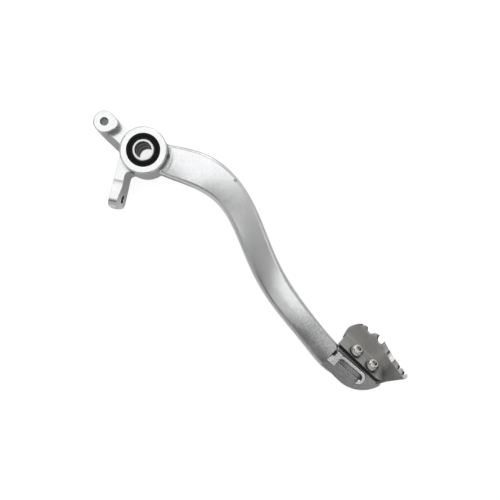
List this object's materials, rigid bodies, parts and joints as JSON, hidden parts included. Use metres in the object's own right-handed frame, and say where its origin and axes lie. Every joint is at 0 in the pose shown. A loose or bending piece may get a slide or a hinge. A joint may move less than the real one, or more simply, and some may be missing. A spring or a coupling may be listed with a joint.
{
  "type": "rear brake pedal",
  "caption": "Forged S-shaped foot brake pedal with a sleeved and sealed pivot boss, push-rod and return-spring lugs, and a screwed-on toothed toe plate.",
  "frame": {"origin": "on the pivot axis, at the inner end of the pivot sleeve, in the plane the pedal lies on", "axes": "+X from the pivot to the toe plate, +Y towards the rider's foot, +Z along the pivot axis, outwards from the motorcycle"},
  "size_m": [0.2367, 0.0657, 0.0321],
  "materials": {
    "forged_alloy": "tumbled satin",
    "ground_steel": "ground bright",
    "bush_bronze": "sintered",
    "seal_rubber": "moulded matt",
    "pressed_steel": "satin",
    "plated_steel": "bright plated",
    "dark_steel": "oxidised"
  },
  "bodies": {
    "pivot": {"pivot_sleeve": "ground_steel"},
    "pedal": {"pedal_arm": "forged_alloy", "outer_bush": "bush_bronze", "inner_bush": "bush_bronze", "outer_dust_seal": "seal_rubber", "inner_dust_seal": "seal_rubber", "toe_plate": "pressed_steel", "toe_screws": "plated_steel", "toe_washers": "dark_steel"}
  },
  "joints": [
    {"name": "pedal_pivot", "type": "hinge", "parent": "pivot", "child": "pedal", "pos_m": [0, 0, 0], "axis": [0, 0, 1], "range_deg": [-15, 5]}
  ]
}
